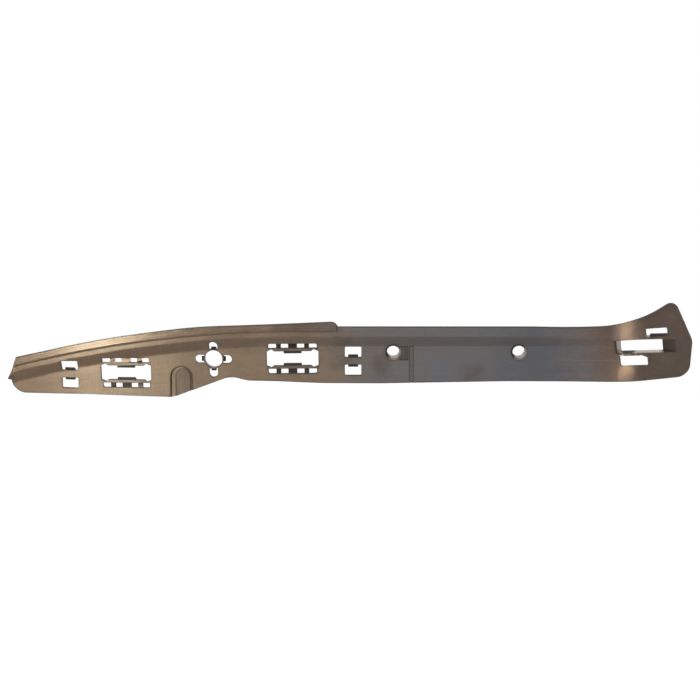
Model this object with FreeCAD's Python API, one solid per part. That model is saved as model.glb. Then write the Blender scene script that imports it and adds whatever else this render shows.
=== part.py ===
"""Bumper mounting bracket: one long moulded strip that holds the edge of a bumper cover to the side of a car.

Seen from the front, +X runs along the strip to the flared wing, +Z is up and the front face looks along -Y.
The origin is midway between the two fixing holes, on the plane where their collars bear on the car body.
Millimetres. The strip is modelled with the rear of its plate at Y = 0 and is moved onto the seat at the end.
"""
import FreeCAD
import Part
import math
import os

V = FreeCAD.Vector

# The sheet and its fold: a plate below, a sloping step, then a flange that stands in front of the plate
wall = 2.6
step_depth = 6.0
step_rise = 8.2
fold_z = 5.8
fold_reach = 1.5

# Along the strip: a long bend back and down at the left, a straight middle, a run-out of the step, the wing
bend_start_x = -136.0
bend_back_radius = 1200.0
bend_down_radius = 880.0
runout_start_x = 84.0
runout_end_x = 137.0
runout_rise = 4.2
runout_stations = 10
wing_bend_radius = 60.0
wing_angle = 25.0

# The lip: the upper band of the flange, left of the middle, set forward by a small step
lip_foot_z = 19.3
lip_step = 1.2
lip_rise = 1.2
lip_ease = 0.4
lip_end_x = -104.4

# Blank sizes from which the outline is trimmed, and how far cutters and roots reach
blank_low_z = -64.0
blank_high_z = 56.0
blank_left = 274.0
blank_wing = 60.0
blank_front_y = -60.0
blank_rear_y = 70.0
cut_front = 16.0
cut_rear = 10.0
root = 0.7

# Fixing holes, with collars that stand the plate off the car body
fixing_spacing = 110.0
fixing_hole_radius = 5.5
fixing_rim_radius = 6.4
fixing_rim_depth = 0.8
collar_radius = 8.2
stand_off = 8.4

# Locating hole at the left, with four slots round it and a nose in each
locator_x = -212.4
locator_z = -6.9
locator_radius = 7.8
locator_ring = 1.0
locator_length = 6.0
locator_slot_width = 7.4
locator_slot_reach = 16.2
locator_nose_width = 4.4
locator_nose_reach = 1.8
locator_nose_set_back = 1.8
locator_nose_rear = 0.6

# Clip windows, each with two sprung rails in a band above and below its main opening, three teeth that
# join each rail to the band's edge, and a tab in the middle of each rail. The third value is the tilt
window_places = ((-290.4, -21.0, 1.0), (-143.1, -5.9, 0.6))
window_width = 45.2
window_height = 26.9
window_corner = 1.6
band_inset = 1.4
band_height = 4.3
rail_middle_height = 2.75
rail_neck_height = 1.1
rail_foot_height = 2.7
rail_foot_run = 4.0
rail_neck_run = 0.4
rail_slope_run = 1.9
rail_set_back = 0.5
rail_behind = 0.6
tooth_middle_width = 7.8
tooth_side_width = 4.2
tooth_side_x = 12.3
tooth_set_back = 1.5
tooth_behind = 1.4
tab_width = 15.8
tab_height = 2.0
tab_root_height = 1.4
tab_set_back = 1.2
tab_behind = 3.0

# Small clip openings, one above and one below a bridge that carries a nose on each edge
pair_places = ((-341.2, -23.7), (-90.1, -8.1))
pair_width = 14.4
pair_height = 25.6
pair_corner = 0.8
bridge_height = 6.6
nose_width = 8.8
nose_reach = 2.2
nose_set_back = 1.5
nose_behind = 2.4

# Arched pocket pressed back from the plate, open at the lower edge
pocket_x = -240.9
pocket_z = -22.0
pocket_top = 8.3
pocket_half = 9.9
pocket_depth = 6.0
pocket_wall = 2.0
pocket_draft = 0.55
pocket_floor_round = 2.2
pocket_droop = 0.2

# Shallow marks on the plate to the right of the left fixing hole
recess_left_x = -49.6
recess_right_x = -42.1
recess_top = 4.8
recess_bottom = -7.1
recess_depth = 0.8
groove_x = -39.0
groove_width = 3.4
groove_depth = 0.4
groove_top_z = 5.0

# Wing openings, in a frame laid on the wing and tilted with its lower edge
catch_along = 159.6
catch_z = 5.85
wing_tilt = 6.4
catch_half = 19.6
catch_height = 11.8
catch_wall = 1.4
catch_depth = 13.5
lead_end = 33.3
lead_deep = 8.5
lead_shallow = 1.4
lead_floor = 2.2
upper_slot_left = 7.5
upper_slot_right = 27.0
upper_slot_low = 8.2
upper_slot_high = 15.6
upper_slot_tilt = 2.5
upper_bar_gap = 3.4
upper_bar = 2.2
lower_slot_left = -16.7
lower_slot_right = 7.5
lower_slot_low = -17.0
lower_slot_shoulder = 6.6
lower_slot_drop = 2.5
lower_slot_round = 2.4
lower_bar_left = -14.5
lower_bar = 1.1
slot_corner = 1.5
slot_bar_set_back = 1.2
slot_bar_rear = 2.0

# Front-view outline: X, Z and corner radius, clockwise from the upper left corner
outline = (
    (-389.3, -9.2, 0.8),
    (-311.0, 10.7, 800.0),
    (-230.0, 22.8, 415.0),
    (-105.3, 28.15, 5.6),
    (-103.7, 23.6, 1.0),
    (66.0, 23.55, 300.0),
    (110.0, 22.7, 300.0),
    (152.1, 22.5, 82.0),
    (186.7, 49.5, 5.8),
    (202.0, 15.2, 14.0),
    (200.3, -16.3, 13.5),
    (151.0, -27.15, 120.0),
    (100.0, -26.45, 600.0),
    (48.0, -26.2, 600.0),
    (-66.0, -28.15, 400.0),
    (-117.0, -27.95, 400.0),
    (-160.0, -26.15, 300.0),
    (-183.0, -25.9, 30.0),
    (-197.5, -22.0, 21.0),
    (-248.6, -41.8, 28.0),
    (-325.0, -41.5, 400.0),
    (-387.2, -42.95, 12.0),
    (-395.2, -35.6, 8.0),
    (-394.9, -31.2, 0.5),
    (-398.5, -30.2, 0.5),
    (-394.2, -22.6, 8.0),
)


def arc_corner(before, here, after, radius):
    """Start, end and edge of the tangent arc that rounds a corner."""
    back = (before - here).normalize()
    on = (after - here).normalize()
    half = back.getAngle(on) / 2
    reach = radius / math.tan(half)
    middle = here + (back + on).normalize() * (radius / math.sin(half) - radius)
    start = here + back * reach
    end = here + on * reach
    return start, end, Part.Arc(start, middle, end).toShape()


def soft_corner(before, here, after, reach):
    """Start, end and edge of the curve that eases a corner, which may be nearly straight."""
    start = here + (before - here).normalize() * reach
    end = here + (after - here).normalize() * reach
    curve = Part.BezierCurve()
    curve.setPoles([start, here, end])
    return start, end, curve.toShape()


def loop(points, sizes, corner):
    """A closed wire through the points, each corner shaped by its size, or left sharp where that is zero."""
    turns = []
    for i, here in enumerate(points):
        after = points[(i + 1) % len(points)]
        if sizes[i] > 0:
            turns.append(corner(points[i - 1], here, after, sizes[i]))
        else:
            turns.append((here, here, None))
    edges = []
    for i, turn in enumerate(turns):
        if turn[2] is not None:
            edges.append(turn[2])
        follow = turns[(i + 1) % len(turns)]
        if turn[1].distanceToPoint(follow[0]) > 1e-5:
            edges.append(Part.makeLine(turn[1], follow[0]))
    return Part.Wire(edges)


def section(depth, rise, lip):
    """The sheet's section at X = 0: plate, step of the given depth and rise, flange and, if asked, lip."""
    shift = wall * math.tan(math.atan2(depth, rise) / 2)
    crest_z = fold_z + rise
    face = [(-wall, blank_low_z, 0), (-wall, fold_z, fold_reach), (-wall - depth, crest_z, fold_reach)]
    back = [(-depth, crest_z + shift, fold_reach), (0, fold_z + shift, fold_reach), (0, blank_low_z, 0)]
    if lip:
        lip_shift = wall * math.tan(math.atan2(lip_step, lip_rise) / 2)
        lip_top_z = lip_foot_z + lip_rise
        out = depth + lip_step
        face += [(-wall - depth, lip_foot_z, lip_ease), (-wall - out, lip_top_z, lip_ease)]
        back = [(-out, lip_top_z + lip_shift, lip_ease), (-depth, lip_foot_z + lip_shift, lip_ease)] + back
        depth = out
    face.append((-wall - depth, blank_high_z, 0))
    back.insert(0, (-depth, blank_high_z, 0))
    corners = face + back
    return loop([V(0, y, z) for y, z, size in corners], [size for y, z, size in corners], soft_corner)


def at_x(shape, x):
    """A copy of a shape drawn at X = 0, carried to x."""
    there = shape.copy()
    there.translate(V(x, 0, 0))
    return there


def left_part():
    """The bend at the left and the straight part that carries the lip."""
    face = at_x(Part.Face(section(step_depth, step_rise, True)), bend_start_x)
    down = 1 / bend_down_radius
    back = 1 / bend_back_radius
    radius = 1 / math.hypot(down, back)
    centre = V(bend_start_x, back * radius * radius, fold_z - down * radius * radius)
    angle = math.degrees(blank_left / radius)
    bent = face.revolve(centre, V(0, down * radius, back * radius), -angle)
    return bent.fuse(face.extrude(V(lip_end_x - bend_start_x, 0, 0)))


def middle_part():
    """The straight part without the lip."""
    face = at_x(Part.Face(section(step_depth, step_rise, False)), lip_end_x)
    return face.extrude(V(runout_start_x - lip_end_x, 0, 0))


def runout_part():
    """The part where the step fades out."""
    wires = []
    for i in range(runout_stations + 1):
        t = i / runout_stations
        fade = t * t * (3 - 2 * t)
        rise = step_rise + (runout_rise - step_rise) * fade * fade
        x = runout_start_x + (runout_end_x - runout_start_x) * t
        wires.append(at_x(section(step_depth * (1 - fade), rise, False), x))
    return Part.makeLoft(wires, True, False)


def wing_part(front, rear):
    """The bend to the wing and the wing itself, between a front and a rear surface."""
    low = blank_low_z
    high = blank_high_z
    corners = [V(0, front, low), V(0, front, high), V(0, rear, high), V(0, rear, low)]
    face = at_x(Part.Face(Part.makePolygon(corners + corners[:1])), runout_end_x)
    centre = V(runout_end_x, -wall / 2 - wing_bend_radius, 0)
    bent = face.revolve(centre, V(0, 0, 1), -wing_angle)
    far = face.copy()
    far.rotate(centre, V(0, 0, 1), -wing_angle)
    along = FreeCAD.Rotation(V(0, 0, 1), -wing_angle).multVec(V(blank_wing, 0, 0))
    return bent.fuse(far.extrude(along))


def prism(corners, y_from, y_to, droop=0.0):
    """A prism along Y over rounded (x, z, radius) corners, which may droop as it goes back."""
    points = [V(x, y_from, z) for x, z, radius in corners]
    wire = loop(points, [radius for x, z, radius in corners], arc_corner)
    return Part.Face(wire).extrude(V(0, y_to - y_from, (y_from - y_to) * droop))


def slab(x_from, x_to, z_from, z_to, y_from, y_to, radius=0.0):
    """A block along Y over a rectangle with rounded corners."""
    places = ((x_from, z_from), (x_to, z_from), (x_to, z_to), (x_from, z_to))
    corners = [(x, z, radius) for x, z in places]
    return prism(corners, y_from, y_to)


def bar_along_x(profile, x_from, x_to):
    """A bar along X over a (y, z) profile."""
    points = [V(x_from, y, z) for y, z in profile]
    return Part.Face(Part.makePolygon(points + points[:1])).extrude(V(x_to - x_from, 0, 0))


def rod(radius, x, z, y_from, y_to):
    """A cylinder along Y."""
    return Part.makeCylinder(radius, y_to - y_from, V(x, y_from, z), V(0, 1, 0))


def joined(shapes):
    """One shape from several that touch or overlap."""
    return shapes[0].multiFuse(shapes[1:])


def mirrored_z(shape):
    """The shape mirrored in the plane Z = 0."""
    return shape.mirror(V(0, 0, 0), V(0, 0, 1))


def rear_y(sheet, x, z):
    """Y of the sheet's rear face behind a point of the front view."""
    ray = Part.makeLine(V(x, blank_front_y, z), V(x, blank_rear_y, z))
    return max(vertex.Y for vertex in ray.common(sheet).Vertexes)


def seat_on(sheet, x, z, tilt=0.0):
    """Placement of a frame on the plate's rear face at a point of the front view, level or tilted."""
    span = wall * 2
    here = V(x, rear_y(sheet, x, z), z)
    right = V(x + span, rear_y(sheet, x + span, z), z)
    below = V(x, rear_y(sheet, x, z - span), z - span)
    along = (right - here).normalize()
    behind = (here - below).cross(right - here).normalize()
    turn = FreeCAD.Rotation(along, behind, along.cross(behind), "XYZ")
    return FreeCAD.Placement(here, turn.multiply(FreeCAD.Rotation(V(0, 1, 0), -tilt)))


def placed(shape, placement):
    """A copy of a shape, carried from its own frame by a placement."""
    there = shape.copy()
    there.Placement = placement.multiply(there.Placement)
    return there


def window_cut():
    """The opening of a clip window: its main opening, and a band above and below it for the rails."""
    half_w = window_width / 2
    half_h = window_height / 2
    main_h = half_h - band_height
    main = slab(-half_w, half_w, -main_h, main_h, -cut_front, cut_rear)
    inset = half_w - band_inset
    return main.fuse(slab(-inset, inset, -half_h, half_h, -cut_front, cut_rear, window_corner))


def window_insert():
    """The rails, teeth and tabs of a clip window."""
    end = window_width / 2
    edge = window_height / 2
    outer = edge - band_height
    inner = outer - rail_middle_height
    neck = outer - rail_neck_height
    foot = outer - rail_foot_height
    low = rail_set_back - wall
    half = [
        (-end - root, outer), (-end - root, foot), (-end, foot), (-end + rail_foot_run, neck),
        (-end + rail_foot_run + rail_neck_run, neck),
        (-end + rail_foot_run + rail_neck_run + rail_slope_run, inner),
    ]
    corners = half + [(-x, z) for x, z in reversed(half)]
    parts = [prism([(x, z, 0) for x, z in corners], low, rail_behind)]
    for x in (-tooth_side_x, 0, tooth_side_x):
        width = tooth_side_width if x else tooth_middle_width
        left = x - width / 2
        parts.append(slab(left, left + width, outer - root, edge + root, tooth_set_back - wall, tooth_behind))
    front = tab_set_back - wall
    tip = inner - tab_height
    top = inner + tab_root_height
    profile = [(front, top), (front, tip), (0, tip), (tab_behind, inner), (tab_behind, top)]
    parts.append(bar_along_x(profile, -tab_width / 2, tab_width / 2))
    upper = joined(parts)
    return [upper, mirrored_z(upper)]


def pair_cuts():
    """The two openings of a small clip, above and below its bridge."""
    half = pair_width / 2
    upper = slab(-half, half, bridge_height / 2, pair_height / 2, -cut_front, cut_rear, pair_corner)
    return [upper, mirrored_z(upper)]


def pair_noses():
    """The noses on the bridge of a small clip."""
    low = bridge_height / 2 - root
    high = bridge_height / 2 + nose_reach
    front = nose_set_back - wall
    profile = [(front, low), (front, high), (0, high), (nose_behind, low)]
    nose = bar_along_x(profile, -nose_width / 2, nose_width / 2)
    return [nose, mirrored_z(nose)]


def locator_cuts():
    """The four slots round the locating hole."""
    half = locator_slot_width / 2
    slots = []
    for quarter in range(4):
        slot = slab(0, locator_slot_reach - half, -half, half, -cut_front, cut_rear)
        slot = slot.fuse(rod(half, locator_slot_reach - half, 0, -cut_front, cut_rear))
        slot.rotate(V(0, 0, 0), V(0, 1, 0), 90 * quarter)
        slots.append(slot)
    return slots


def locator_insert():
    """The ring and the noses of the locating hole, with the bore still solid."""
    outer = locator_radius + locator_ring
    half = locator_nose_width / 2
    front = locator_nose_set_back - wall
    parts = [rod(outer, 0, 0, -wall, locator_length - wall)]
    for quarter in range(4):
        nose = slab(locator_radius, outer + locator_nose_reach, -half, half, front, locator_nose_rear)
        nose.rotate(V(0, 0, 0), V(0, 1, 0), 90 * quarter)
        parts.append(nose)
    return parts


def arch(half, top, y):
    """A wire at y round an arched block that is open below."""
    low = V(0, y, blank_low_z - pocket_z)
    shoulder = top - half
    return Part.Wire([
        Part.makeLine(low + V(-half, 0, 0), low + V(half, 0, 0)),
        Part.makeLine(low + V(half, 0, 0), V(half, y, shoulder)),
        Part.Arc(V(half, y, shoulder), V(0, y, top), V(-half, y, shoulder)).toShape(),
        Part.makeLine(V(-half, y, shoulder), low + V(-half, 0, 0)),
    ])


def pocket_block(grow, y_from, y_to):
    """The pocket's tapered block with a rounded floor, grown by a margin, between two depths."""
    wires = []
    for y in (y_from, y_to):
        shrink = (y + wall) * pocket_draft
        wires.append(arch(pocket_half + grow - shrink, pocket_top + grow - shrink, y))
    block = Part.makeLoft(wires, True, True)
    low = blank_low_z - pocket_z
    rim = []
    for edge in block.Edges:
        box = edge.BoundBox
        if box.YMin > y_to - root and box.ZMax > low + root:
            rim.append(edge)
    return block.makeFillet(pocket_floor_round, rim)


def wing_frame():
    """Placement of a frame on the wing's rear plane, at the centre of its catch opening."""
    turn = FreeCAD.Rotation(V(0, 0, 1), -wing_angle)
    centre = V(runout_end_x, -wall / 2 - wing_bend_radius, 0)
    start = centre + turn.multVec(V(0, wall / 2 + wing_bend_radius, 0))
    arc = math.radians(wing_angle) * wing_bend_radius
    origin = start + turn.multVec(V(catch_along - runout_end_x - arc, 0, catch_z))
    return FreeCAD.Placement(origin, turn.multiply(FreeCAD.Rotation(V(0, 1, 0), -wing_tilt)))


def flat_prism(profile, z_from, z_to):
    """A prism along Z over an (x, y) profile."""
    points = [V(x, y, z_from) for x, y in profile]
    return Part.Face(Part.makePolygon(points + points[:1])).extrude(V(0, 0, z_to - z_from))


def catch_body():
    """The collar behind the catch opening with its lead-in, before it is trimmed to the front of the wing."""
    half = catch_height / 2 + catch_wall
    left = -catch_half - catch_wall
    turn = catch_half + catch_wall
    right = lead_end + catch_wall
    rear = catch_depth - wall
    profile = [
        (left, -cut_front), (right, -cut_front), (right, lead_shallow - wall + lead_floor),
        (turn, lead_deep - wall + lead_floor), (turn, rear), (left, rear),
    ]
    return flat_prism(profile, -half, half)


def catch_cuts():
    """The opening of the catch and the space in front of its sloping lead-in."""
    half = catch_height / 2
    through = slab(-catch_half, catch_half, -half, half, -cut_front, catch_depth)
    inside = catch_half - root
    profile = [
        (inside, -cut_front), (lead_end, -cut_front),
        (lead_end, lead_shallow - wall), (inside, lead_deep - wall),
    ]
    return [through, flat_prism(profile, -half, half)]


def upper_slot():
    """The upper small opening of the wing and the bar along its lower edge."""
    left = upper_slot_left
    right = upper_slot_right
    low = upper_slot_low
    cut = slab(left, right, low, upper_slot_high, -cut_front, cut_rear, slot_corner)
    bar_front = slot_bar_set_back - wall
    bar = slab(left + upper_bar_gap, right, low - root, low + upper_bar, bar_front, slot_bar_rear)
    middle = V((left + right) / 2, 0, (low + upper_slot_high) / 2)
    cut.rotate(middle, V(0, 1, 0), -upper_slot_tilt)
    return cut, bar


def lower_slot():
    """The lower small opening of the wing, right under the catch's wall, and the bar along its upper edge."""
    top = -catch_height / 2 - catch_wall
    shoulder = lower_slot_right - lower_slot_shoulder
    corners = [
        (lower_slot_left, lower_slot_low, lower_slot_round), (lower_slot_right, lower_slot_low, slot_corner),
        (lower_slot_right, top - lower_slot_drop, slot_corner), (shoulder, top, slot_corner),
        (lower_slot_left, top, slot_corner),
    ]
    cut = prism(corners, -cut_front, cut_rear)
    bar_front = slot_bar_set_back - wall
    bar = slab(lower_bar_left, shoulder, top - lower_bar, top + root, bar_front, slot_bar_rear)
    return cut, bar


os.makedirs("parts", exist_ok=True)

sheet = joined([left_part(), middle_part(), runout_part(), wing_part(-wall, 0.0)]).removeSplitter()
front_of_wing = wing_part(-wall, catch_depth * 2)

# The pocket and the catch are built before the outline trims the sheet. The pocket's lower edge droops
# as it goes back, so that it lines up with the plate's edge when the strip is seen a little from above
pocket_seat = seat_on(sheet, pocket_x, pocket_z)
shell = placed(pocket_block(pocket_wall, -wall, pocket_depth + pocket_wall - wall), pocket_seat)
hollow = placed(pocket_block(0, -cut_front, pocket_depth - wall), pocket_seat)
pocket_face_y = pocket_seat.Base.y - wall
trim = prism(outline, pocket_face_y, pocket_face_y + blank_rear_y, pocket_droop)
on_wing = wing_frame()
catch = placed(catch_body(), on_wing).common(front_of_wing)
body = joined([sheet, catch]).common(prism(outline, blank_front_y, blank_rear_y))
body = joined([body, shell.common(trim)]).cut(hollow)

upper_cut, upper_stop = upper_slot()
lower_cut, lower_stop = lower_slot()
cuts = [placed(shape, on_wing) for shape in catch_cuts() + [upper_cut, lower_cut]]
adds = [placed(shape, on_wing) for shape in (upper_stop, lower_stop)]
for x, z, tilt in window_places:
    seat = seat_on(sheet, x, z, tilt)
    cuts.append(placed(window_cut(), seat))
    adds += [placed(shape, seat) for shape in window_insert()]
for x, z in pair_places:
    seat = seat_on(sheet, x, z)
    straight = FreeCAD.Placement(seat.Base, FreeCAD.Rotation())
    cuts += [placed(shape, straight) for shape in pair_cuts()]
    adds += [placed(shape, seat) for shape in pair_noses()]
locator_seat = seat_on(sheet, locator_x, locator_z)
cuts += [placed(shape, locator_seat) for shape in locator_cuts()]
adds += [placed(shape, locator_seat) for shape in locator_insert()]
for side in (-1, 1):
    adds.append(rod(collar_radius, side * fixing_spacing / 2, 0, -wall, stand_off))

body = body.cut(cuts)
body = joined([body] + adds)

bores = [placed(rod(locator_radius, 0, 0, -cut_front, cut_rear + locator_length), locator_seat)]
for side in (-1, 1):
    x = side * fixing_spacing / 2
    bores.append(rod(fixing_hole_radius, x, 0, -cut_front, stand_off + wall))
    rim = Part.makeCone(fixing_rim_radius, fixing_hole_radius, fixing_rim_depth, V(x, -wall, 0), V(0, 1, 0))
    bores.append(rim)
bores.append(slab(recess_left_x, recess_right_x, recess_bottom, recess_top, -wall * 2, recess_depth - wall))
groove_left_x = groove_x - groove_width / 2
groove_right_x = groove_x + groove_width / 2
bores.append(slab(groove_left_x, groove_right_x, blank_low_z, groove_top_z, -wall * 2, groove_depth - wall))
body = body.cut(bores)

body = body.removeSplitter()
body.translate(V(0, -stand_off, 0))
print("body", body.isValid(), len(body.Solids), len(body.Faces), body.Volume)
body.exportStep("parts/bracket.step")
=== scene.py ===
"""Looks for the bumper mounting bracket: its moulded plastic, a pale floor, soft lamps and the camera.

Metres, in the same frame as the solid: +X runs along the strip to the flared wing, +Z is up, and the front
faces -Y.
"""
import bpy
import math
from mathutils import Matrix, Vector

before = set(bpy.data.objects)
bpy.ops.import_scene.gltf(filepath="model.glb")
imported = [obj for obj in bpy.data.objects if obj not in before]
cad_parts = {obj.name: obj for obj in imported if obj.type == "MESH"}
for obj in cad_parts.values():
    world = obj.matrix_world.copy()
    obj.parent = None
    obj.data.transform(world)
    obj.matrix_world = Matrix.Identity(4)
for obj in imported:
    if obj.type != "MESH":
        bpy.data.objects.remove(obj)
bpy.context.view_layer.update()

# Camera: level with the strip's length, a little above it
camera_target = Vector((-0.09284, -0.0110, 0.00175))
camera_distance = 1.6
camera_elevation = math.radians(12.0)
camera_lens = 94.04

# Floor and surround
white = (1.0, 1.0, 1.0, 1.0)
floor_z = -0.42
floor_half = 45.0
floor_colour = (0.5, 0.5, 0.5, 1.0)
floor_glow = 0.88
floor_white = 1.12
ambient = 0.28

# Lamps: name, place, aim, width, height, power, colour and the angle that the light spreads over
lamps = (
    ("key_softbox", (-0.80, -1.15, 1.30), (-0.10, 0.0, 0.0), 0.9, 0.8,
     13.0, (1.0, 0.99, 0.98), 180.0),
    ("top_softbox", (0.15, 0.20, 1.50), (0.0, 0.0, 0.0), 1.4, 0.9,
     6.0, (0.97, 0.98, 1.0), 180.0),
    ("left_softbox", (-0.83, -1.10, -0.215), (-0.31, 0.0, 0.0), 0.17, 0.22,
     0.160, (1.0, 0.80, 0.56), 24.0),
    ("bend_softbox", (-0.18, -1.35, -0.250), (0.176, 0.0, 0.0), 0.05, 0.22,
     0.056, (1.0, 0.62, 0.34), 8.0),
)

# The strip's ends and its bends, which the flow lines follow, and the plane of the wing
strip_left = -0.399
strip_length = 0.601
front_y = -0.0110
bend_start_x = -0.136
bend_down_radius = 0.88
bend_back_radius = 1.2
lip_foot = 0.0193
lip_end_x = -0.1044
step_end_x = 0.0900
wing_angle = math.radians(25.0)
wing_point = (0.15966, -0.01550)

# Tone of the plastic along the strip, partly its own colour and partly painted reflection (warm at the left
# end, cool grey in the middle): X and display colour, and how far the clouds shift it
tone_and_reflection_stops = (
    (-0.399, (112, 92, 68)),
    (-0.355, (108, 88, 64)),
    (-0.335, (112, 92, 67)),
    (-0.270, (112, 92, 68)),
    (-0.225, (106, 88, 70)),
    (-0.185, (124, 104, 82)),
    (-0.115, (135, 115, 97)),
    (-0.082, (121, 115, 112)),
    (0.020, (123, 120, 121)),
    (0.100, (88, 93, 101)),
    (0.135, (67, 56, 46)),
    (0.160, (38, 34, 29)),
    (0.202, (38, 33, 28)),
)
colour_wander = 0.16

# Display colours of streaks and stains, and of painted shade, painted highlights and painted reflections on
# edges, walls and openings
brown_film_and_shade = (96, 74, 56)
stain_and_shade_brown = (66, 54, 42)
cool_film = (104, 110, 122)
warm_streak = (146, 130, 108)
cool_streak_and_reflection = (118, 126, 142)
dark_streak_and_shade = (48, 42, 38)
shadowed = (26, 22, 19)
near_black = (14, 13, 12)
painted_highlight = (150, 134, 114)
rim_dark = (24, 20, 17)
cream = (238, 220, 188)
pale_wall = (216, 206, 188)
dark_brown = (58, 44, 34)
rail_grey = (88, 78, 68)

# Coats that are laid over the colour below them: display colour, and how much of it shows; many of them are
# painted light, painted shade or painted reflection
stain_coat = (stain_and_shade_brown, 0.45)
painted_light_coat = (painted_highlight, 0.24)
painted_shade_coat = (dark_streak_and_shade, 0.42)
scuff_coat = (cool_film, 0.16)
cool_reflection_coat = (cool_streak_and_reflection, 0.30)
dark_streak_coat = (dark_streak_and_shade, 0.24)
cross_streak_coat = (warm_streak, 0.16)
dark_mottle_coat = (dark_streak_and_shade, 0.16)
underside_shade_coat = (brown_film_and_shade, 0.22)
slope_shade_coat = (stain_and_shade_brown, 0.16)
recess_shade_coat = (dark_brown, 0.70)
groove_shade_coat = (brown_film_and_shade, 0.32)
side_shade_coat = (shadowed, 0.62)
rim_highlight_coat = (painted_highlight, 0.12)
rim_shade_coat = (rim_dark, 0.84)
mouth_shade_coat = (dark_brown, 0.80)
lit_wall_coat = (cream, 0.95)
dim_wall_coat = (dark_brown, 0.35)
rail_shade_coat = (rail_grey, 0.55)
nose_shade_coat = (near_black, 1.0)
halo_shade_coat = (brown_film_and_shade, 0.40)
edge_shade_coat = (near_black, 0.95)
edge_highlight_coat = (pale_wall, 0.35)
bore_light_coat = (pale_wall, 0.45)
catch_side_reflection_coat = (pale_wall, 0.95)
catch_foot_reflection_coat = (pale_wall, 1.0)
catch_roof_shade_coat = (dark_brown, 0.60)
lead_shade_coat = (dark_brown, 0.60)
dark_patch_coat = (dark_brown, 0.70)
set_back_amount = 0.92
bright_streak_amount = 0.26
bright_mottle_amount = 0.12

# Noises that follow the strip: scale along it, scale across it, detail and roughness
cloud_noise = (22.0, 34.0, 4.0, 0.6)
patch_noise = (40.0, 60.0, 5.0, 0.65)
streak_noise = (5.0, 620.0, 4.0, 0.65)
fine_streak_noise = (16.0, 1500.0, 2.0, 0.5)
cross_streak_noise = (620.0, 26.0, 3.0, 0.5)
scuff_noise = (90.0, 200.0, 5.0, 0.65)

# Noises that are alike in all directions: scale, detail and roughness
mottle_noise = (620.0, 3.0, 0.5)
grain_noise = (2600.0, 2.0, 0.5)
noise_middle = 0.5

# Noise values between which a layer fades in, and for some of them its amount at either end
patch_range = (0.46, 0.68)
stain_range = (0.30, 0.60, 0.3, 1.0)
scuff_range = (0.52, 0.78)
bright_streak_range = (0.50, 0.80)
dark_streak_range = (0.50, 0.22)
cool_reflection_range = (0.48, 0.70)
cross_streak_range = (0.42, 0.70)
bright_mottle_range = (0.52, 0.75)
dark_mottle_range = (0.48, 0.25)
pocket_streak_range = (0.35, 0.65, 0.40, 0.75)

# Parts of the true normal between which a face counts as a side, the front or the underside
side_range = (0.70, 0.52)
front_range = (0.50, 0.05)
underside_range = (-0.30, -0.52)

# How much of the streaks is left on the wing
wing_calm = 0.12

# Places along the strip between which a layer fades in, and for brown patches their amount at either end
cool_range = (-0.110, -0.060)
brown_range = (-0.110, -0.070, 0.42, 0.07)
wing_range = (0.135, 0.155)
lip_foot_range = (lip_foot, lip_foot + 0.001)
lip_end_range = (lip_end_x, lip_end_x - 0.002)
slope_end_range = (0.10, 0.07)
cross_streak_window = (-0.345, -0.205, 0.03)

# Depths behind the front between which a face counts as set back
set_back_range = (0.0008, 0.0011)
rail_range = (0.0002, 0.0004)
pocket_mouth_range = (0.0016, 0.0022)
pocket_floor_range = (0.0054, 0.0060)

# Softness of the edges of painted areas
stain_soft = 0.006
dark_patch_soft = 0.0010
fine_soft = 0.0004
sharp_soft = 0.0003
crisp_soft = 0.0002

# Areas of the front view are boxes: centre X, centre height, half width and half height
stains = (
    (-0.0650, -0.0120, 0.0080, 0.0090),
    (0.0140, -0.0200, 0.0100, 0.0080),
    (-0.1010, -0.0020, 0.0090, 0.0160),
)

# Painted light on paler stretches of the plate and the flange, and painted shade on a darker stretch of the
# lip: box, softness and coat
lit_and_shaded_stretches = (
    ((-0.1500, -0.0120, 0.0600, 0.0150), 0.010, painted_light_coat),
    ((0.1000, 0.0180, 0.0260, 0.0060), 0.010, painted_light_coat),
    ((-0.1300, 0.0240, 0.0300, 0.0045), 0.004, painted_shade_coat),
)

# Painted shade in the shallow recess and along the groove beside the left fixing hole: box, softness and coat
recess_and_groove_shades = (
    ((-0.04585, -0.00115, 0.00375, 0.00595), 0.0003, recess_shade_coat),
    ((-0.0390, -0.0120, 0.0017, 0.0170), 0.0006, groove_shade_coat),
)

# The step's slope, which gets painted shade, and dark lines of painted shade along the folds: height, amount,
# and how far along X they reach
slope_heights = (0.0060, 0.0138)
fold_shade_lines = (
    (lip_foot, 0.50, lip_end_x),
    (0.0144, 0.30, step_end_x),
    (0.0058, 0.22, step_end_x),
)
fold_half_width = 0.0005
fold_fade = 0.003

# Parts that are set back from the plate, painted darker than it as painted shade or, for the left window's
# upper teeth, lighter as a painted highlight: box and display colour
left_window = (-0.2904, -0.0077, 0.0222, 0.0132)
right_window = (-0.1431, -0.0059, 0.0222, 0.0132)
set_backs = (
    (left_window, (44, 36, 29)),
    ((-0.2904, 0.0042, 0.0222, 0.0027), (232, 214, 186)),
    (right_window, (34, 29, 25)),
    ((-0.3412, 0.0003, 0.0070, 0.0126), (52, 44, 37)),
    ((-0.0901, -0.0081, 0.0070, 0.0126), (46, 41, 38)),
)

# The pocket, and the parts of the normal between which its walls get painted light: left side, roof and not
# right side
pocket_box = (-0.2409, -0.0260, 0.0104, 0.0190)
lit_side_range = (0.15, 0.45)
lit_roof_range = (-0.15, -0.45)
unlit_side_range = (-0.50, 0.10)

# The locating hole, with distances from its centre
locator_centre = (-0.2124, -0.0036)
locator_bore_range = (0.0087, 0.0083)
nose_window = (0.0087, 0.0112)

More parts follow.
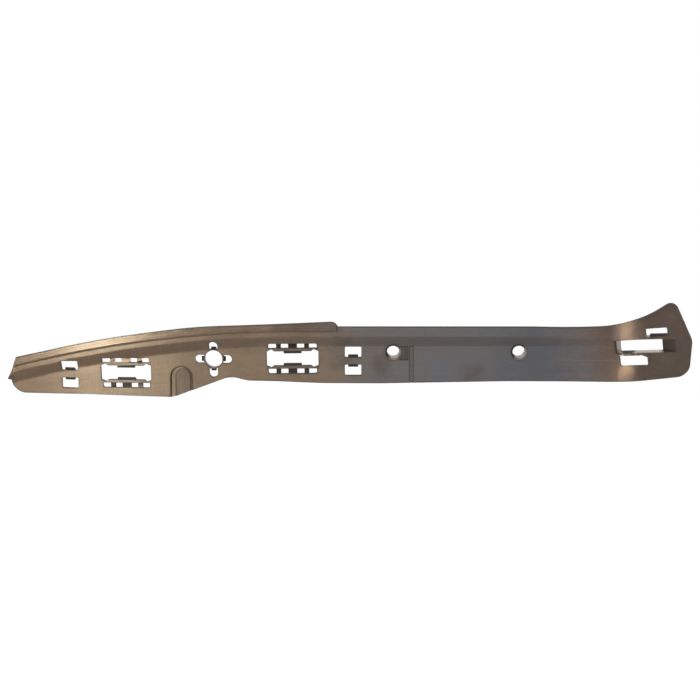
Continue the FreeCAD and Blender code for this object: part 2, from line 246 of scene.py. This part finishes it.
# The fixing holes, with distances from their centres, and where their edge turns from painted shade to a
# painted highlight at the lower right
fixing_centres = ((-0.055, 0.0), (0.055, 0.0))
fixing_halo_window = (0.0055, 0.0088, 0.0010)
fixing_edge_window = (0.0049, 0.0070)
fixing_bore_range = (0.0058, 0.0055)
lower_right_range = (-0.002, 0.006)

# The wing's openings: boxes, and for the catch where its walls lie and which way they face, for their painted
# reflection and painted shade
catch_box = (0.1597, 0.0058, 0.0200, 0.0095)
catch_left_ranges = ((0.2, 0.6), (0.1560, 0.1550))
catch_foot_ranges = ((0.4, 0.8), (0.0060, 0.0050))
catch_roof_ranges = ((-0.4, -0.8), (0.0060, 0.0070))
lead_box = (0.1842, 0.0086, 0.0068, 0.0082)
wing_bars = (
    (0.1759, 0.0172, 0.0080, 0.0024),
    (0.1543, -0.0027, 0.0080, 0.0021),
)

# Dark patches near the strip's ends: painted shade in the catch's lower left corner, and a dark spot at the
# left tip
dark_patches = (
    (0.1405, -0.0010, 0.0030, 0.0022),
    (-0.3960, 0.0085, 0.0040, 0.0024),
)

# Rounded edges: radius and samples for shading and for finding rims, and how far a rim turns the normal where
# its painted highlight and painted shade lie
shading_bevel = (0.0007, 6)
rim_bevel = (0.0016, 8)
pale_rim_range = (0.9995, 0.997)
dark_rim_range = (0.996, 0.955)

# Gloss and relief
streak_roughness = (0.25, 0.75, 0.30, 0.40)
scuff_gloss_range = (0.50, 0.75)
scuff_roughness = 0.06
grain_roughness = 0.05
lip_polish = 0.08
dull_roughness = 0.75
streak_relief = 0.5
fine_streak_relief = 0.22
grain_relief = 0.14
cloud_relief = 1.2
bump_strength = 0.35
bump_distance = 0.00012
plastic_ior = 1.52
plastic_specular = 0.5


def linear(red, green, blue):
    """A scene-linear colour from 0-255 display values."""
    channels = []
    for value in (red, green, blue):
        share = value / 255
        channels.append(share / 12.92 if share <= 0.04045 else ((share + 0.055) / 1.055) ** 2.4)
    return (*channels, 1.0)


class Shader:
    """Builds the nodes of one material or world with short calls."""

    def __init__(self, owner):
        owner.use_nodes = True
        self.owner = owner
        self.tree = owner.node_tree
        self.tree.nodes.clear()

    def node(self, kind, inputs=None, **settings):
        """A node with its settings, and its inputs set to values or linked to sockets."""
        made = self.tree.nodes.new(kind)
        for key, value in settings.items():
            setattr(made, key, value)
        for key, value in (inputs or {}).items():
            if isinstance(value, bpy.types.NodeSocket):
                self.tree.links.new(value, made.inputs[key])
            else:
                made.inputs[key].default_value = value
        return made

    def math(self, operation, first, second=0.0):
        """The result of a Math node."""
        return self.node("ShaderNodeMath", {0: first, 1: second}, operation=operation).outputs[0]

    def product(self, first, *others):
        """The product of masks and amounts."""
        for other in others:
            first = self.math("MULTIPLY", first, other)
        return first

    def highest(self, first, *others):
        """The highest of several masks."""
        for other in others:
            first = self.math("MAXIMUM", first, other)
        return first

    def rest(self, mask):
        """Everything that a mask leaves."""
        return self.math("SUBTRACT", 1.0, mask)

    def vector(self, x, y, z):
        """A vector from three numbers or sockets."""
        return self.node("ShaderNodeCombineXYZ", {"X": x, "Y": y, "Z": z}).outputs[0]

    def noise(self, vector, scale, detail, roughness):
        """Noise from 0 to 1."""
        values = {"Vector": vector, "Scale": scale, "Detail": detail, "Roughness": roughness}
        return self.node("ShaderNodeTexNoise", values).outputs["Fac"]

    def between(self, value, low, high, to_low=0.0, to_high=1.0):
        """Value carried smoothly from one range to another and held at its ends."""
        values = {"Value": value, "From Min": low, "From Max": high, "To Min": to_low, "To Max": to_high}
        return self.node("ShaderNodeMapRange", values, interpolation_type="SMOOTHSTEP").outputs[0]

    def window(self, value, low, high, soft):
        """1 between low and high, 0 outside, with soft edges."""
        rising = self.between(value, low - soft, low + soft)
        falling = self.between(value, high - soft, high + soft, 1.0, 0.0)
        return self.product(rising, falling)

    def mix(self, factor, first, second):
        """A colour between two."""
        return self.node("ShaderNodeMix", {0: factor, 6: first, 7: second}, data_type="RGBA").outputs[2]

    def paint(self, base, mask, coat):
        """A coat of colour laid over a base through a mask."""
        colour, amount = coat
        return self.mix(self.product(mask, amount), base, linear(*colour))

    def ramp(self, value, stops):
        """A colour that changes along a value, through (place, colour) stops."""
        ramp = self.node("ShaderNodeValToRGB", {0: value})
        points = ramp.color_ramp.elements
        while len(points) < len(stops):
            points.new(0.5)
        for point, (place, colour) in zip(points, stops):
            point.position = place
            point.color = colour
        return ramp.outputs[0]

    def output(self, kind, surface):
        """Ends the nodes in a surface shader and gives the material or world."""
        self.node(kind, {"Surface": surface})
        return self.owner


class Moulding(Shader):
    """The bracket's plastic, with the strip's own coordinates, its noises and the masks that layers share."""

    def __init__(self):
        super().__init__(bpy.data.materials.new("bracket_plastic"))
        place = self.node("ShaderNodeTexCoord").outputs["Object"]
        axes = self.node("ShaderNodeSeparateXYZ", {0: place}).outputs
        self.x, self.y, self.z = axes[0], axes[1], axes[2]
        past_bend = self.math("MAXIMUM", self.math("SUBTRACT", bend_start_x, self.x), 0.0)
        squared = self.product(past_bend, past_bend)
        drop = self.product(squared, 0.5 / bend_down_radius)
        sag = self.product(squared, 0.5 / bend_back_radius)
        self.height = self.math("ADD", self.z, drop)
        self.behind = self.math("SUBTRACT", self.math("SUBTRACT", self.y, front_y), sag)

        self.clouds = self.strip_noise(*cloud_noise)
        self.patches = self.strip_noise(*patch_noise)
        self.streaks = self.strip_noise(*streak_noise)
        self.fine_streaks = self.strip_noise(*fine_streak_noise)
        self.cross_streaks = self.strip_noise(*cross_streak_noise)
        self.scuffs = self.strip_noise(*scuff_noise)
        self.mottle = self.noise(place, *mottle_noise)
        self.grain = self.noise(place, *grain_noise)

        self.facing = self.node("ShaderNodeNewGeometry").outputs["True Normal"]
        facing_axes = self.node("ShaderNodeSeparateXYZ", {0: self.facing}).outputs
        self.facing_x, self.facing_y, self.facing_z = facing_axes[0], facing_axes[1], facing_axes[2]
        self.side = self.between(self.math("ABSOLUTE", self.facing_y), *side_range)
        self.front = self.between(self.facing_y, *front_range)
        self.deep = self.product(self.front, self.between(self.behind, *set_back_range))
        self.on_wing = self.between(self.x, *wing_range)
        self.calm = self.between(self.on_wing, 0.0, 1.0, 1.0, wing_calm)
        on_top = self.between(self.height, *lip_foot_range)
        self.on_lip = self.product(on_top, self.between(self.x, *lip_end_range))
        self.off_lip = self.rest(self.on_lip)
        self.inside_pocket = self.product(self.box(pocket_box, fine_soft), self.deep)

        along_depth = self.product(self.math("SUBTRACT", self.x, wing_point[0]), math.sin(wing_angle))
        across_depth = self.product(self.math("SUBTRACT", self.y, wing_point[1]), math.cos(wing_angle))
        wing_depth = self.math("ADD", along_depth, across_depth)
        self.deep_wing = self.product(self.front, self.between(wing_depth, *set_back_range))
        self.inside_catch = self.product(self.box(catch_box, sharp_soft), self.deep_wing)
        self.shade = self.product(self.side, self.rest(self.inside_pocket), self.rest(self.inside_catch))

    def strip_noise(self, along, across, detail, roughness):
        """Noise that follows the strip's bend, with a scale along it and one across it."""
        stretched = self.vector(self.product(self.x, along), self.y, self.product(self.height, across))
        return self.noise(stretched, 1.0, detail, roughness)

    def box(self, area, soft):
        """1 inside a box of the front view."""
        centre_x, centre_height, half_x, half_height = area
        in_x = self.window(self.x, centre_x - half_x, centre_x + half_x, soft)
        in_height = self.window(self.height, centre_height - half_height, centre_height + half_height, soft)
        return self.product(in_x, in_height)

    def front_box(self, area, soft):
        """1 on the faces of a box of the front view that look forward."""
        return self.product(self.front, self.box(area, soft))

    def reach(self, centre):
        """Distance from a point of the front view."""
        inputs = {0: self.vector(self.x, 0.0, self.height), 1: (centre[0], 0.0, centre[1])}
        return self.node("ShaderNodeVectorMath", inputs, operation="DISTANCE").outputs["Value"]

    def bevel(self, radius, samples):
        """The normal with its edges rounded."""
        return self.node("ShaderNodeBevel", {"Radius": radius}, samples=samples).outputs[0]


def body_colour(made):
    """The colour along the strip, partly painted reflection, with its patches, stains, streaks and mottling,
    and painted light and shade on stretches, undersides, the slope, the folds, the recess and the groove.
    """
    wander = made.product(made.math("SUBTRACT", made.clouds, noise_middle), colour_wander)
    along = made.math("DIVIDE", made.math("SUBTRACT", made.x, strip_left), strip_length)
    # The tone along the strip is partly painted reflection: warm at the left end and cool grey in the middle
    stops = [((stop_x - strip_left) / strip_length, linear(*colour)) for stop_x, colour in tone_and_reflection_stops]
    base = made.ramp(made.math("ADD", along, wander), stops)

    brown_coat = (brown_film_and_shade, made.between(made.x, *brown_range))
    base = made.paint(base, made.between(made.patches, *patch_range), brown_coat)
    for stain in stains:
        in_patches = made.between(made.patches, *stain_range)
        base = made.paint(base, made.product(made.front_box(stain, stain_soft), in_patches), stain_coat)
    # Painted light on paler stretches, and painted shade on a darker stretch of the lip
    for area, soft, coat in lit_and_shaded_stretches:
        base = made.paint(base, made.front_box(area, soft), coat)
    base = made.paint(base, made.product(made.between(made.scuffs, *scuff_range), made.off_lip), scuff_coat)

    cool_here = made.between(made.x, *cool_range)
    streak_colour = made.mix(cool_here, linear(*warm_streak), linear(*cool_streak_and_reflection))
    bright_streaks = made.between(made.streaks, *bright_streak_range)
    base = made.mix(made.product(bright_streaks, made.calm, bright_streak_amount), base, streak_colour)
    # Painted cool reflection in clouds over the middle of the strip; the same cool colour also tints real
    # streaks
    cool_reflection = made.product(made.between(made.clouds, *cool_reflection_range), cool_here, made.rest(made.on_wing))
    base = made.paint(base, cool_reflection, cool_reflection_coat)
    dark_streaks = made.product(made.between(made.streaks, *dark_streak_range), made.calm)
    base = made.paint(base, dark_streaks, dark_streak_coat)
    cross_here = made.window(made.x, *cross_streak_window)
    cross = made.product(made.between(made.cross_streaks, *cross_streak_range), cross_here)
    base = made.paint(base, cross, cross_streak_coat)
    bright_mottle = made.between(made.mottle, *bright_mottle_range)
    base = made.mix(made.product(bright_mottle, made.calm, bright_mottle_amount), base, streak_colour)
    base = made.paint(base, made.between(made.mottle, *dark_mottle_range), dark_mottle_coat)
    # Painted shade on faces that look down
    base = made.paint(base, made.between(made.facing_z, *underside_range), underside_shade_coat)

    # Painted shade on the step's slope, which faces down
    slope = made.product(made.front, made.window(made.height, *slope_heights, fine_soft))
    slope = made.product(slope, made.between(made.x, *slope_end_range))
    base = made.paint(base, slope, slope_shade_coat)
    # Dark lines of painted shade along the crest and foot of the step and the foot of the lip
    for line_height, amount, line_end in fold_shade_lines:
        low, high = line_height - fold_half_width, line_height + fold_half_width
        in_reach = made.between(made.x, line_end, line_end - fold_fade)
        line = made.product(made.front, made.window(made.height, low, high, fine_soft), in_reach)
        base = made.paint(base, line, (dark_streak_and_shade, amount))
    # Painted shade in the shallow recess and along the groove
    for area, soft, coat in recess_and_groove_shades:
        base = made.paint(base, made.front_box(area, soft), coat)
    return base


def edge_colour(made, base):
    """Paints shade on the sides of the sheet, and a painted highlight and painted shade along its rims."""
    # Painted shade on the sides of the sheet
    base = made.paint(base, made.shade, side_shade_coat)
    inputs = {0: made.bevel(*rim_bevel), 1: made.facing}
    rim = made.node("ShaderNodeVectorMath", inputs, operation="DOT_PRODUCT").outputs["Value"]
    # Painted highlight just inside the rounded edges, and painted shade on the edges themselves
    base = made.paint(base, made.between(rim, *pale_rim_range), rim_highlight_coat)
    catch_sides = made.product(made.inside_catch, made.side)
    dark_rim = made.product(made.between(rim, *dark_rim_range), made.rest(catch_sides))
    return made.paint(base, dark_rim, rim_shade_coat)


def pocket_colour(made, base):
    """Paints light and shade into the pocket: painted shade in its mouth, painted light on its lit walls,
    painted shade on its dim walls and on its streaked floor.
    """
    lit_wall = made.highest(
        made.between(made.facing_x, *lit_side_range), made.between(made.facing_z, *lit_roof_range))
    lit_wall = made.product(lit_wall, made.between(made.facing_x, *unlit_side_range))
    past_mouth = made.between(made.behind, *pocket_mouth_range)
    on_floor = made.between(made.behind, *pocket_floor_range)
    on_wall = made.product(made.inside_pocket, past_mouth, made.rest(on_floor))
    floor_shade_coat = (dark_streak_and_shade, made.between(made.cross_streaks, *pocket_streak_range))
    # Painted shade in the mouth, painted light on the left and top walls, painted shade on the other walls
    # and the streaked floor
    base = made.paint(base, made.product(made.inside_pocket, made.rest(past_mouth)), mouth_shade_coat)
    base = made.paint(base, made.product(on_wall, lit_wall), lit_wall_coat)
    base = made.paint(base, made.product(on_wall, made.rest(lit_wall)), dim_wall_coat)
    return made.paint(base, made.product(made.inside_pocket, on_floor), floor_shade_coat)


def opening_colour(made, base):
    """Colours windows, clip openings and round holes with painted shade, painted highlights and painted
    light; also gives the masks of dull parts and of bores.
    """
    for window_box in (left_window, right_window):
        # Painted shade on the rails inside the windows
        rails = made.product(made.front_box(window_box, sharp_soft), made.between(made.behind, *rail_range))
        base = made.paint(base, rails, rail_shade_coat)
    dull = []
    for area, colour in set_backs:
        # Painted shade on set-back teeth and noses, and a painted highlight on the left window's upper teeth
        set_back = made.product(made.box(area, crisp_soft), made.deep)
        base = made.paint(base, set_back, (colour, set_back_amount))
        dull.append(set_back)

    from_locator = made.reach(locator_centre)
    # Painted shade on the locating hole's noses
    noses = made.product(made.window(from_locator, *nose_window, crisp_soft), made.deep)
    base = made.paint(base, noses, nose_shade_coat)
    dull.append(noses)
    bores = [made.product(made.between(from_locator, *locator_bore_range), made.deep)]

    for centre in fixing_centres:
        distance = made.reach(centre)
        slant = made.math("SUBTRACT", made.math("SUBTRACT", made.x, centre[0]), made.height)
        lower_right = made.between(slant, *lower_right_range)
        # Painted shade around each fixing hole and on its edge, a painted highlight on the edge at the lower
        # right, and painted light on the bore
        halo = made.product(made.front, made.window(distance, *fixing_halo_window))
        base = made.paint(base, halo, halo_shade_coat)
        edge = made.product(made.front, made.window(distance, *fixing_edge_window, crisp_soft))
        dark_edge = made.product(edge, made.rest(lower_right))
        base = made.paint(base, dark_edge, edge_shade_coat)
        base = made.paint(base, made.product(edge, lower_right), edge_highlight_coat)
        bore = made.product(made.between(distance, *fixing_bore_range), made.deep)
        base = made.paint(base, bore, bore_light_coat)
        dull.append(dark_edge)
        bores.append(bore)
    return base, made.highest(*dull), made.highest(*bores)


def wing_colour(made, base):
    """Colours the wing's openings with painted reflection and painted shade, paints the dark patches, and
    paints shade on the bars; also gives the mask of the bars.
    """
    # Painted reflection on the catch's left and bottom walls, and painted shade under its roof
    walls = (
        (made.facing_x, made.x, catch_left_ranges, catch_side_reflection_coat),
        (made.facing_z, made.z, catch_foot_ranges, catch_foot_reflection_coat),
        (made.facing_z, made.z, catch_roof_ranges, catch_roof_shade_coat),
    )
    for facing, place, (facing_range, place_range), coat in walls:
        wall = made.product(made.between(facing, *facing_range), made.between(place, *place_range))
        base = made.paint(base, made.product(made.inside_catch, wall), coat)
    # Painted shade on the lead-in
    base = made.paint(base, made.product(made.box(lead_box, fine_soft), made.deep_wing), lead_shade_coat)
    # Painted shade in the catch's corner, and a dark spot at the left tip
    for dark_patch in dark_patches:
        base = made.paint(base, made.front_box(dark_patch, dark_patch_soft), dark_patch_coat)
    # Painted shade on the bars in the wing's slots
    bars = made.highest(*(made.product(made.box(bar, sharp_soft), made.deep_wing) for bar in wing_bars))
    return made.paint(base, bars, nose_shade_coat), bars


def gloss(made, dull):
    """Roughness: streaks, scuffs and grain, a smoother lip, and dull parts where light hardly reaches."""
    roughness = made.between(made.streaks, *streak_roughness)
    scuffed = made.product(made.between(made.scuffs, *scuff_gloss_range), made.off_lip, scuff_roughness)
    grained = made.product(made.math("SUBTRACT", made.grain, noise_middle), grain_roughness)
    roughness = made.math("ADD", roughness, scuffed)
    roughness = made.math("ADD", roughness, grained)
    roughness = made.math("SUBTRACT", roughness, made.product(made.on_lip, lip_polish))
    return made.highest(roughness, made.product(dull, dull_roughness))


def relief(made):
    """The bumped normal: streaks, grain and clouds on rounded edges."""
    height = made.product(made.streaks, made.calm, streak_relief)
    height = made.math("ADD", height, made.product(made.fine_streaks, made.calm, fine_streak_relief))
    height = made.math("ADD", height, made.product(made.grain, grain_relief))
    height = made.math("ADD", height, made.product(made.clouds, cloud_relief))
    inputs = {"Height": height, "Strength": bump_strength, "Distance": bump_distance}
    inputs["Normal"] = made.bevel(*shading_bevel)
    return made.node("ShaderNodeBump", inputs).outputs[0]


def plastic():
    """Satin moulded plastic: bronze-brown to cool grey, partly painted reflection, with flow lines, clouds
    and scuffs, and painted light and shade on its edges, walls, recesses and set-back parts.
    """
    made = Moulding()
    base = body_colour(made)
    base = edge_colour(made, base)
    base = pocket_colour(made, base)
    base, dull, bores = opening_colour(made, base)
    base, bars = wing_colour(made, base)
    dull = made.highest(made.product(made.shade, made.rest(bores)), dull, bars)

    inputs = {"Base Color": base, "Roughness": gloss(made, dull), "Normal": relief(made)}
    shader = made.node("ShaderNodeBsdfPrincipled", inputs)
    shader.inputs["IOR"].default_value = plastic_ior
    shader.inputs["Specular IOR Level"].default_value = plastic_specular
    return made.output("ShaderNodeOutputMaterial", shader.outputs[0])


def seen_ray(made):
    """1 for rays that show the background to the camera, to gloss and through glass."""
    path = made.node("ShaderNodeLightPath").outputs
    return made.highest(path["Is Camera Ray"], path["Is Glossy Ray"], path["Is Transmission Ray"])


def add_floor():
    """A pale floor below the part."""
    mesh = bpy.data.meshes.new("floor")
    corners = [(floor_half * x, floor_half * y, floor_z) for x, y in ((-1, -1), (1, -1), (1, 1), (-1, 1))]
    mesh.from_pydata(corners, [], [(0, 1, 2, 3)])
    made = Shader(bpy.data.materials.new("floor_paper"))
    paper = made.node("ShaderNodeBsdfDiffuse", {"Color": floor_colour}).outputs[0]
    glow = made.node("ShaderNodeEmission", {"Color": white, "Strength": floor_white}).outputs[0]
    glow_share = made.product(seen_ray(made), floor_glow)
    surface = made.node("ShaderNodeMixShader", {0: glow_share, 1: paper, 2: glow}).outputs[0]
    mesh.materials.append(made.output("ShaderNodeOutputMaterial", surface))
    floor = bpy.data.objects.new("floor", mesh)
    bpy.context.scene.collection.objects.link(floor)


def light_world():
    """An even white surround."""
    made = Shader(bpy.data.worlds.new("surround"))
    level = made.math("ADD", made.product(seen_ray(made), 1.0 - ambient), ambient)
    background = made.node("ShaderNodeBackground", {"Color": white, "Strength": level})
    bpy.context.scene.world = made.output("ShaderNodeOutputWorld", background.outputs[0])


def add_lamp(name, place, aim, width, height, power, colour, spread):
    """A rectangular softbox that faces its aim."""
    lamp = bpy.data.lights.new(name, "AREA")
    lamp.shape = "RECTANGLE"
    lamp.size = width
    lamp.size_y = height
    lamp.energy = power
    lamp.color = colour
    lamp.spread = math.radians(spread)
    holder = bpy.data.objects.new(name, lamp)
    holder.location = place
    holder.rotation_euler = (Vector(aim) - Vector(place)).to_track_quat("-Z", "Y").to_euler()
    bpy.context.scene.collection.objects.link(holder)


def add_camera():
    """The photograph's viewpoint."""
    lens = bpy.data.cameras.new("camera")
    lens.lens = camera_lens
    holder = bpy.data.objects.new("camera", lens)
    back = Vector((0.0, -math.cos(camera_elevation), math.sin(camera_elevation)))
    holder.location = camera_target + back * camera_distance
    holder.rotation_euler = (-back).to_track_quat("-Z", "Y").to_euler()
    bpy.context.scene.collection.objects.link(holder)
    bpy.context.scene.camera = holder


bpy.context.scene.view_settings.view_transform = "Standard"
add_camera()
add_floor()
light_world()
for lamp in lamps:
    add_lamp(*lamp)

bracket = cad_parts["bracket"]
bracket.data.materials.clear()
bracket.data.materials.append(plastic())
